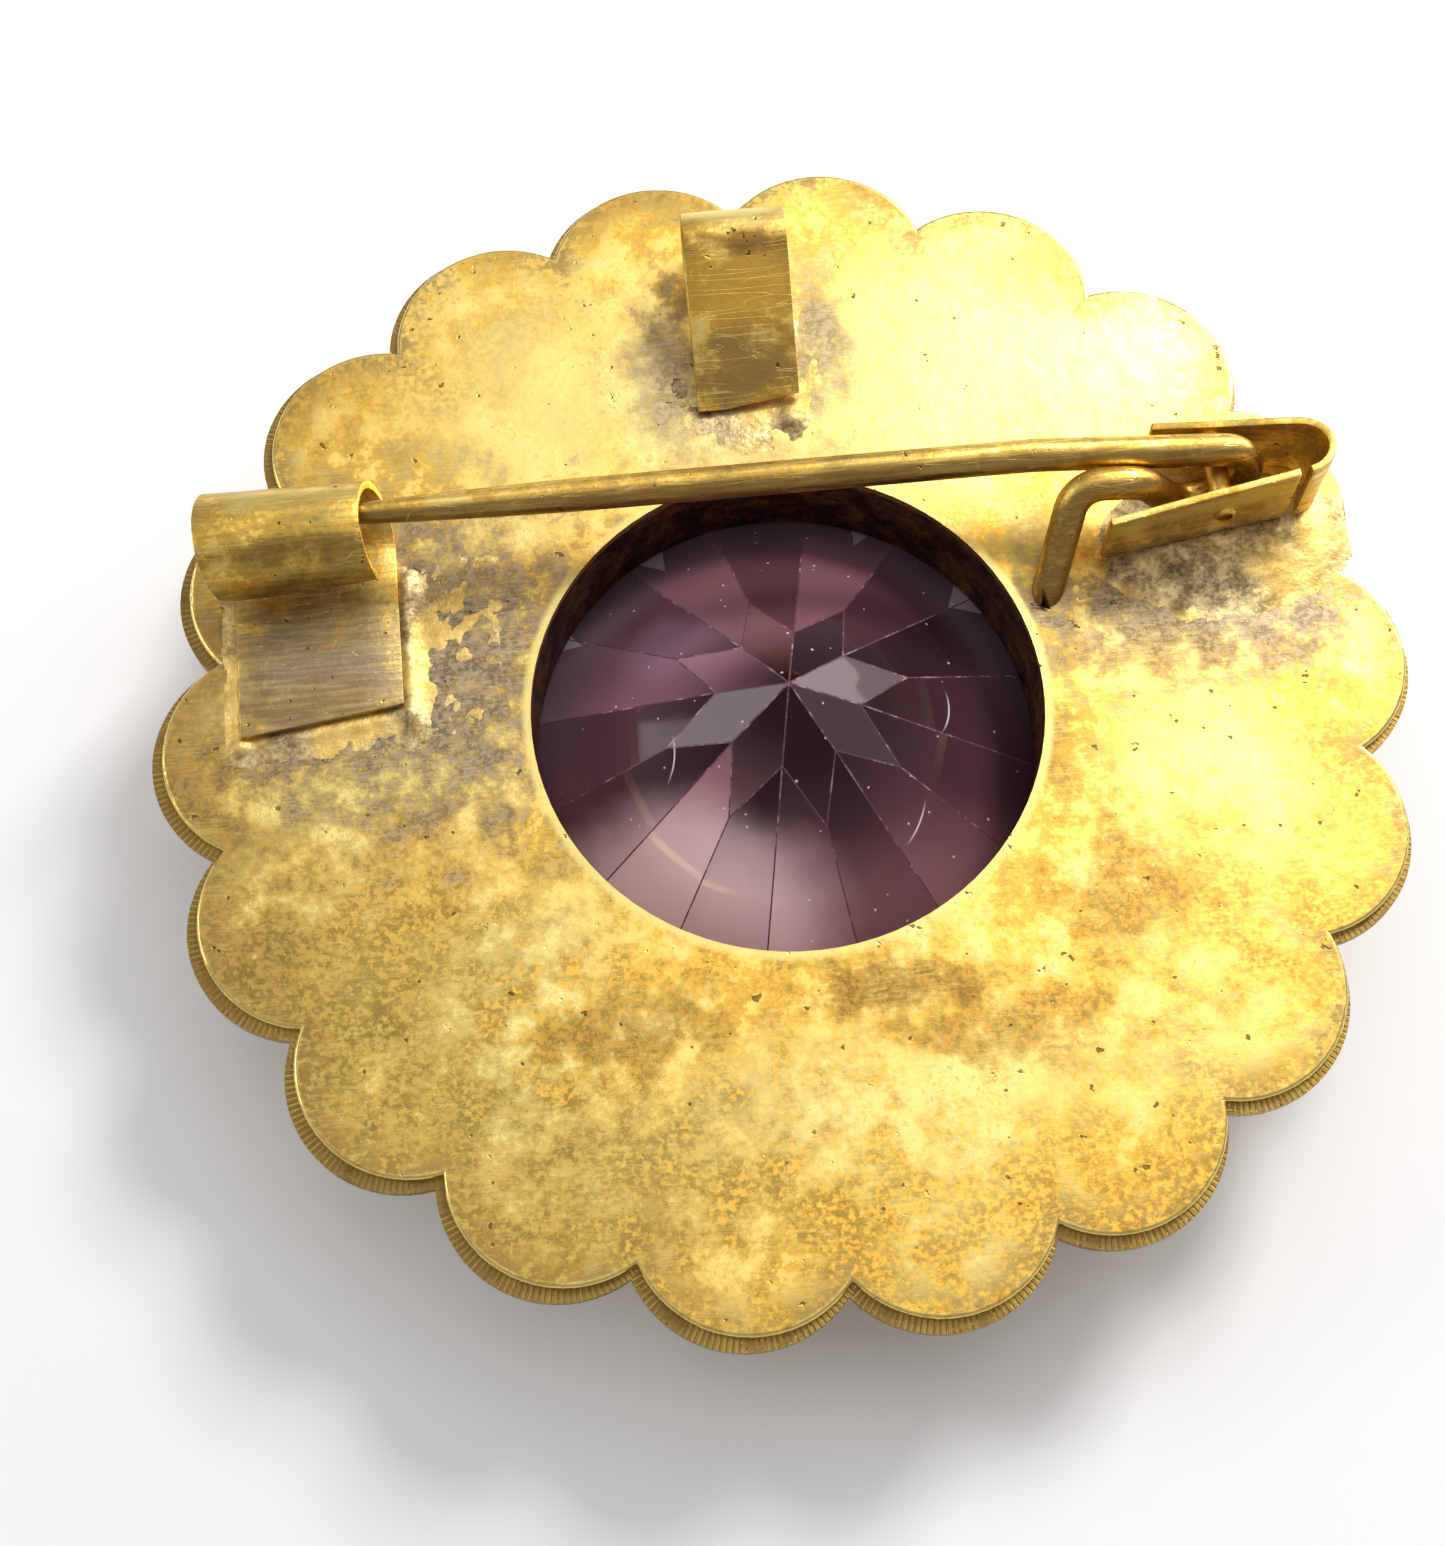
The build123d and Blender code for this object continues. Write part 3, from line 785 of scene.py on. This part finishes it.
def makeCatch():
    c = catch
    middle = plateTop + c["thickness"] / 2
    start = c["nearEdge"] - 1.2
    place = (c["right"] - c["width"] / 2 - 0.5, start, middle)
    moves = [("run", c["rollY"] - start - firstStep, 14), ("turn", c["rollRadius"], 90 + c["lipAngle"], 44)]
    layStrip(place, (0, 1, 0), (1, 0, 0), c["width"] + 3, moves)
    bpy.ops.mesh.select_all(action="SELECT")
    cut((c["right"], 0, middle), (1, 0, c["lean"]))
    bpy.ops.mesh.select_all(action="SELECT")
    cut((c["right"] - c["width"], 0, middle), (-1, 0, -c["lean"]))
    bpy.ops.mesh.select_all(action="SELECT")
    cut((c["right"] - c["width"] / 2, c["nearEdge"], middle), (c["skew"], -1, 0))
    lipTop = plateTop + 2.5
    lip = c["rollY"] - c["rollRadius"] / 3
    pick("faces", lambda m, f: m.y < lip and plateTop + 0.6 < m.z < lipTop + 0.3)
    cut((c["right"] + 1, 0, lipTop), (c["lipRise"], 0, -1))
    thicken(c["thickness"], c["edge"], c["dents"])
    finishPiece("catchStrip", "brooch_body", "catch", looks["catch"])


makeCatch()


# hinge bracket and rivet

bracket = {
    "thickness": 0.28,
    "height": 4.5,
    "bend": (19.1, 6.8),
    "bendRadius": 1.15,
    "nearEnd": (12.0, 4.6),
    "farEnd": (14.2, 8.66),
    "top": ((12.0, 4.6, 3.2), (-0.135, 0.26, 1)),
    "lift": 0.42,
    "edge": 0.06,
    "dents": (1.8, 0.06),
}


def tangent(point, centre, radius, side):
    reach = (centre - point).length
    lean = side * (pi / 2 - acos(radius / reach))
    heading = Matrix.Rotation(lean, 2) @ ((centre - point) / reach)
    return heading, (reach**2 - radius**2) ** 0.5


def makeBracket():
    b = bracket
    near, far, centre = Vector(b["nearEnd"]), Vector(b["farEnd"]), Vector(b["bend"])
    heading, length = tangent(near, centre, b["bendRadius"], -1)
    backHeading, backLength = tangent(far, centre, b["bendRadius"], 1)
    turn = (backHeading * -1).angle_signed(heading) * 180 / pi % 360
    moves = [
        ("run", length - firstStep, 18),
        ("turn", b["bendRadius"], turn, 16),
        ("run", backLength, 12),
    ]
    start = (*near, plateTop + b["height"] / 2)
    layStrip(start, (*heading, 0), (0, 0, 1), b["height"], moves)
    bpy.ops.mesh.select_all(action="SELECT")
    point, normal = b["top"]
    cut((point[0], point[1], plateTop + point[2]), normal)
    # the near cheek stands a little clear of the plate
    pick("faces", lambda m, f: m.y < centre.y - 0.4 and m.x < centre.x - 0.3)
    cut((near.x, near.y, plateTop + b["lift"]), (0.02, 0, -1))
    thicken(b["thickness"], b["edge"], b["dents"], 4)
    finishPiece("hingeStrip", "brooch_body", "hinge_bracket", looks["bracket"])


makeBracket()

rivet = {
    "place": (16.4, 5.0, 1.9),
    "radius": 0.4,
    "length": 3.6,
    "sides": 24,
    "round": 0.09,
    "step": 0.08,
    "dimple": 0.12,
}


def makeRivet():
    r = rivet
    beginPiece()
    x, y, h = r["place"]
    bpy.ops.mesh.primitive_cylinder_add(
        vertices=r["sides"], radius=r["radius"] * mm, depth=r["length"] * mm,
        location=Vector((x, y + r["length"] / 2, plateTop + h)) * mm, rotation=(pi / 2, 0, 0),
    )
    bpy.ops.object.transform_apply(location=True, rotation=True, scale=True)
    bpy.ops.object.mode_set(mode="EDIT")
    for end, side in ((y, 1), (y + r["length"], -1)):
        pick("faces", lambda m, f: abs(m.y - end) < 0.01)
        bpy.ops.mesh.bevel(offset=r["round"] * mm, segments=3, affect="EDGES")
        pick("faces", lambda m, f: abs(m.y - end) < 0.01)
        bpy.ops.mesh.inset(thickness=r["step"] * mm)
        bpy.ops.mesh.inset(thickness=r["step"] * mm)
        bpy.ops.transform.translate(value=(0, side * r["dimple"] * mm, 0))
    finishPiece("hingeRivet", "brooch_body", "hinge_rivet", looks["bracket"], 50)


makeRivet()


# pin

pin = {
    "radius": 0.6,
    "sides": 28,
    # corners of the wire, with heights above the plate
    "path": [
        (-7.0, 7.6, 3.0), (9.6, 7.6, 3.0), (17.5, 7.1, 3.0), (17.5, 6.75, 0.8),
        (14.9, 6.35, 0.8), (13.4, 6.1, 3.1), (11.0, 6.2, 3.1), (9.85, 3.35, -0.35),
    ],
    "bends": [5, 1.08, 1.08, 1.2, 1.3, 1.2],
    "foot": 0.04,
    "footRound": 0.08,
    # place and radius of each step towards the point
    "taper": [
        (-8.5, 0.575), (-10.5, 0.53), (-12.5, 0.47), (-14.0, 0.42),
        (-15.2, 0.33), (-16.2, 0.2), (-16.9, 0.09), (-17.18, 0.03),
    ],
}


# moves along a path whose corners are rounded
def leadWire(points, bends, step):
    points = [Vector(p) for p in points]
    place = points[0]
    for k in range(1, len(points)):
        heading = (points[k] - points[k - 1]).normalized()
        end = points[k]
        if k < len(points) - 1:
            nextHeading = (points[k + 1] - points[k]).normalized()
            angle = heading.angle(nextHeading)
            end = points[k] - heading * (bends[k - 1] * tan(angle / 2))
        length = (end - place).length
        steps = max(1, round(length / step))
        stride = heading * (length / steps * mm)
        for _ in range(steps):
            bpy.ops.mesh.extrude_region_move(TRANSFORM_OT_translate={"value": stride})
        place = end
        if k < len(points) - 1:
            hinge = heading.cross(nextHeading).normalized()
            centre = place + hinge.cross(heading) * bends[k - 1]
            bpy.ops.mesh.spin(steps=max(2, round(angle * 8)), angle=-angle, center=centre * mm, axis=hinge)
            place = centre + Matrix.Rotation(angle, 3, hinge) @ (place - centre)


def makePin():
    p = pin
    beginPiece()
    path = [(x, y, plateTop + h) for x, y, h in p["path"]]
    start = Vector(path[0])
    bpy.ops.mesh.primitive_circle_add(
        vertices=p["sides"], radius=p["radius"] * mm, fill_type="NGON",
        location=start * mm, rotation=(0, pi / 2, 0),
    )
    bpy.ops.object.transform_apply(location=True, rotation=True, scale=True)
    editAll()
    leadWire(path, p["bends"], 0.7)
    bpy.ops.mesh.select_all(action="SELECT")
    cut((0, 0, plateTop + p["foot"]), (0, 0, -1), True)
    # the tapered point, drawn out from the other end
    pick("faces", lambda m, f: abs(m.x - start.x) < 0.02 and len(f.verts) > 8)
    x, radius = start.x, p["radius"]
    for nextX, nextRadius in p["taper"]:
        bpy.ops.mesh.extrude_region_move(TRANSFORM_OT_translate={"value": ((nextX - x) * mm, 0, 0)})
        scale = nextRadius / radius
        middle = Vector((nextX, start.y, start.z)) * mm
        bpy.ops.transform.resize(value=(1, scale, scale), center_override=middle)
        x, radius = nextX, nextRadius
    bpy.ops.mesh.select_all(action="SELECT")
    bpy.ops.mesh.remove_doubles(threshold=0.001 * mm)
    bpy.ops.mesh.normals_make_consistent(inside=False)
    pick("faces", lambda m, f: abs(m.z - plateTop - p["foot"]) < 0.01 and len(f.verts) > 8)
    bpy.ops.mesh.bevel(offset=p["footRound"] * mm, segments=2, affect="EDGES")
    bpy.ops.object.mode_set(mode="OBJECT")
    finishPiece("pinWire", "pin", "pin_wire", looks["pin"], 60)


makePin()


# pendant bail

bail = {
    "thickness": 0.3,
    "width": 3.85,
    "x": -0.2,
    "nearY": 12.1,
    "rollY": 17.9,
    "rollRadius": 1.5,
    "backY": 14.3,
    "edge": 0.08,
    "skew": 0.13,
    "dents": (1.6, 0.08),
}


def makeBail():
    b = bail
    middle = plateTop + b["thickness"] / 2
    foot = Vector((b["nearY"], middle))
    roll = Vector((b["rollY"], middle + b["rollRadius"]))
    heading, length = tangent(foot, roll, b["rollRadius"], 1)
    rise = heading.angle(Vector((1, 0))) * 180 / pi
    moves = [
        ("run", length - firstStep, 12),
        ("turn", b["rollRadius"], -(180 + rise), 26),
        ("run", b["rollY"] - b["backY"], 6),
    ]
    layStrip((b["x"], foot.x, foot.y), (0, heading.x, heading.y), (1, 0, 0), b["width"], moves)
    # the near end is cut askew
    pick("faces", lambda m, f: m.y < b["nearY"] + 1.6 and m.z > middle - 0.1)
    cut((b["x"], b["nearY"] + 0.1, middle), (b["skew"], -1, 0))
    thicken(b["thickness"], b["edge"], b["dents"])
    finishPiece("bailStrip", "brooch_body", "pendant_bail", looks["bail"])


makeBail()


# stone, cut facet by facet from a round blank

def makeStone():
    s = stone
    beginPiece()
    depth = s["top"] + 1
    bpy.ops.mesh.primitive_cylinder_add(
        vertices=s["sides"], radius=s["girdle"] * mm, depth=depth * mm, location=(0, 0, depth / 2 * mm)
    )
    bpy.ops.object.transform_apply(location=True, rotation=True, scale=True)
    bpy.ops.object.mode_set(mode="EDIT")
    half = 180 / s["mains"]
    bezel = s["front"] / (s["girdle"] - s["table"])
    starReach = s["table"] * cos(radians(half))
    for k in range(s["mains"]):
        main = s["turn"] + k * 2 * half
        facets = [
            (main, s["pavilionMain"], 0, s["top"], 1),
            (main - half / 2, s["pavilionHalf"], s["girdle"], s["back"], 1),
            (main + half / 2, s["pavilionHalf"], s["girdle"], s["back"], 1),
            (main, bezel, s["girdle"], s["front"], -1),
            (main - half / 2, s["crownHalf"], s["girdle"], s["front"], -1),
            (main + half / 2, s["crownHalf"], s["girdle"], s["front"], -1),
            (main + half, s["star"], starReach, 0, -1),
        ]
        for angle, slope, reach, height, side in facets:
            out = Vector((cos(radians(angle)), sin(radians(angle)), 0))
            bpy.ops.mesh.select_all(action="SELECT")
            cut(out * reach + Vector((0, 0, height)), out * slope + Vector((0, 0, side)), True)
    bpy.ops.mesh.select_all(action="SELECT")
    bpy.ops.mesh.remove_doubles(threshold=0.004 * mm)
    bpy.ops.mesh.dissolve_limited(angle_limit=radians(0.4))
    bpy.ops.mesh.normals_make_consistent(inside=False)
    bpy.ops.object.mode_set(mode="OBJECT")
    blank = bpy.context.object
    blank.data.materials.append(looks["stone"])
    blank.data.materials.append(looks["stoneEdge"])
    applyModifier(
        "BEVEL", width=s["edge"] * mm, segments=1, limit_method="ANGLE", angle_limit=radians(4), material=1
    )
    finishPiece("facetedStone", "brooch_body", "stone", None, 1)


makeStone()


# setting: a wall, a row of claws and a twisted border wire

setting = {
    "inner": 9.85,
    "wall": 0.35,
    "front": 1.6,
    "claws": 36,
    "clawSize": (0.35, 0.95, 0.5),
    # how far each joint of a claw goes in and up, and how it narrows
    "clawJoints": (((-0.35, 0, 0.1), (1, 0.8, 0.8)), ((-0.28, 0, 0.06), (1, 0.6, 0.7))),
    "edge": 0.08,
    "sides": 144,
}


# copies the selected piece all round the middle axis, each copy with its own mesh, and joins them
def repeatRound(model, count, others):
    copies = []
    for k in range(count):
        bpy.ops.object.select_all(action="DESELECT")
        model.select_set(True)
        bpy.context.view_layer.objects.active = model
        bpy.ops.object.duplicate(linked=False)
        copy = bpy.context.object
        copy.rotation_euler = (0, 0, 2 * pi * k / count)
        bpy.ops.object.transform_apply(location=True, rotation=True, scale=True)
        copies.append(copy)
    bpy.data.objects.remove(model)
    bpy.ops.object.select_all(action="DESELECT")
    for piece in copies + others:
        piece.select_set(True)
    bpy.context.view_layer.objects.active = (others or copies)[0]
    bpy.ops.object.join()


def makeSetting():
    s = setting
    beginPiece()
    depth = plateBottom - s["front"]
    bpy.ops.mesh.primitive_cylinder_add(
        vertices=s["sides"], radius=(s["inner"] + s["wall"] / 2) * mm, depth=depth * mm,
        end_fill_type="NOTHING", location=(0, 0, (s["front"] + depth / 2) * mm),
    )
    bpy.ops.object.transform_apply(location=True, rotation=True, scale=True)
    bpy.ops.object.mode_set(mode="EDIT")
    # the front edge is drawn in towards the stone
    pick("edges", lambda m, e: m.z < s["front"] + 0.01)
    bpy.ops.mesh.extrude_region_move(TRANSFORM_OT_translate={"value": (0, 0, 0)})
    bpy.ops.transform.resize(value=(0.985, 0.985, 1), center_override=(0, 0, 0))
    bpy.ops.object.mode_set(mode="OBJECT")
    applyModifier("SOLIDIFY", thickness=s["wall"] * 0.9 * mm, offset=0, use_even_offset=True)
    applyModifier("BEVEL", width=s["edge"] * mm, segments=2, limit_method="ANGLE", angle_limit=radians(40))
    wall = bpy.context.object
    # one claw: a small block, tapered and bent in over the edge of the stone
    bpy.ops.object.select_all(action="DESELECT")
    bpy.ops.mesh.primitive_cube_add(size=1, location=(0, 0, 0))
    claw = bpy.context.object
    claw.scale = Vector(s["clawSize"]) * mm
    height = s["front"] + s["clawSize"][2] / 2
    claw.location = Vector((s["inner"] + s["wall"] / 2, 0, height)) * mm
    bpy.ops.object.transform_apply(location=True, rotation=True, scale=True)
    bpy.ops.object.mode_set(mode="EDIT")
    pick("faces", lambda m, f: m.x < s["inner"] + 0.05 and abs(m.z - height) < 0.05)
    for shift, narrow in s["clawJoints"]:
        bpy.ops.mesh.extrude_region_move(TRANSFORM_OT_translate={"value": Vector(shift) * mm})
        bpy.ops.transform.resize(value=narrow)
    bpy.ops.object.mode_set(mode="OBJECT")
    applyModifier("SUBSURF", levels=2, render_levels=2)
    repeatRound(claw, s["claws"], [wall])
    finishPiece("clawSetting", "brooch_body", "stone_setting", looks["setting"], 40)


makeSetting()

border = {"radius": 10.64, "z": 3.88, "bead": (0.40, 0.62, 0.40), "count": 72, "lean": 42, "turn": 18}


def makeBorder():
    b = border
    beginPiece()
    # one turn of the twist: a short slanted bead, repeated all round
    bpy.ops.mesh.primitive_uv_sphere_add(segments=12, ring_count=8, radius=1, location=(0, 0, 0))
    bead = bpy.context.object
    bead.scale = Vector(b["bead"]) * mm
    bead.rotation_euler = (radians(b["lean"]), 0, radians(b["turn"]))
    bead.location = Vector((b["radius"], 0, b["z"])) * mm
    bpy.ops.object.transform_apply(location=True, rotation=True, scale=True)
    repeatRound(bead, b["count"], [])
    finishPiece("twistedBorder", "brooch_body", "setting_wire", looks["setting"], 60)


makeBorder()


# solder: low grids that are raised in steps, smoothed, and roughened until their edges sink into the plate

solder = {"grain": 0.13, "sink": -0.06, "clouds": (1.1, 0.10), "grit": (0.26, 0.04), "smooth": 7}


def laySolder(name, node, low, high, levels):
    beginPiece()
    size = Vector(high) - Vector(low)
    steps = [round(side / solder["grain"]) for side in size]
    middle = (Vector(low) + Vector(high)) / 2
    bpy.ops.mesh.primitive_grid_add(
        x_subdivisions=steps[0], y_subdivisions=steps[1], size=1,
        location=Vector((middle.x, middle.y, plateTop + solder["sink"])) * mm,
    )
    bpy.context.object.scale = (size.x * mm, size.y * mm, 1)
    bpy.ops.object.transform_apply(location=True, rotation=True, scale=True)
    bpy.ops.object.mode_set(mode="EDIT")
    for test, rise in levels:
        pick("verts", lambda m, v: test(m.x, m.y))
        bpy.ops.transform.translate(value=(0, 0, rise * mm))
    bpy.ops.mesh.select_all(action="SELECT")
    bpy.ops.mesh.vertices_smooth(factor=0.5, repeat=solder["smooth"])
    bpy.ops.object.mode_set(mode="OBJECT")
    for label in ("clouds", "grit"):
        roughen(label, *solder[label])
    bpy.ops.object.mode_set(mode="EDIT")
    pick("verts", lambda m, v: m.z < plateTop - 0.02)
    bpy.ops.mesh.delete(type="VERT")
    finishPiece(name, "brooch_body", node, looks["solder"], 60)


def oval(x, y, a, b):
    return lambda px, py: ((px - x) / a) ** 2 + ((py - y) / b) ** 2 < 1


def box(x0, x1, y0, y1):
    return lambda px, py: x0 < px < x1 and y0 < py < y1


catchRight, catchLeft = catch["right"], catch["right"] - catch["width"]


# the strip of solder just in front of the catch's slanted near edge
def alongNearEdge(x, y):
    edge = catch["nearEdge"] + (x - catchLeft - 3) * catch["skew"]
    return catchLeft - 0.4 < x < catchRight + 0.4 and -0.5 < y - edge < -0.1


laySolder("catchSolder", "catch_solder", (-20.6, -1.4), (-9.4, 8.8), [
    (box(catchLeft - 0.6, catchRight + 0.7, -0.6, 6.5), 0.06),
    (box(catchRight, catchRight + 3.9, -0.6, 7.2), 0.055),
    (box(catchRight - 0.05, catchRight + 0.45, 0.4, 6.5), 0.16),
    (box(catchLeft - 0.45, catchLeft + 0.1, 0.0, 6.5), 0.14),
    (alongNearEdge, 0.16),
])
laySolder("hingeSolder", "hinge_solder", (11.4, 1.4), (21.4, 8.4), [
    (oval(16.7, 4.9, 4.9, 3.2), 0.08),
    (oval(16.8, 5.0, 4.3, 2.6), 0.09),
    (oval(17.0, 5.1, 3.6, 2.0), 0.10),
    (oval(17.3, 5.3, 2.8, 1.4), 0.10),
    (oval(17.8, 5.4, 2.0, 0.9), 0.08),
])
laySolder("bailSolder", "bail_solder", (-3.8, 9.4), (3.2, 17.2), [
    (oval(-0.2, 13.4, 3.0, 3.6), 0.06),
    (box(-2.3, 1.9, 11.3, 12.3), 0.06),
    (oval(1.33, 11.6, 0.4, 0.4), 0.12),
    (oval(1.33, 11.6, 0.25, 0.25), 0.12),
    (oval(-0.6, 10.9, 0.9, 0.35), 0.07),
])
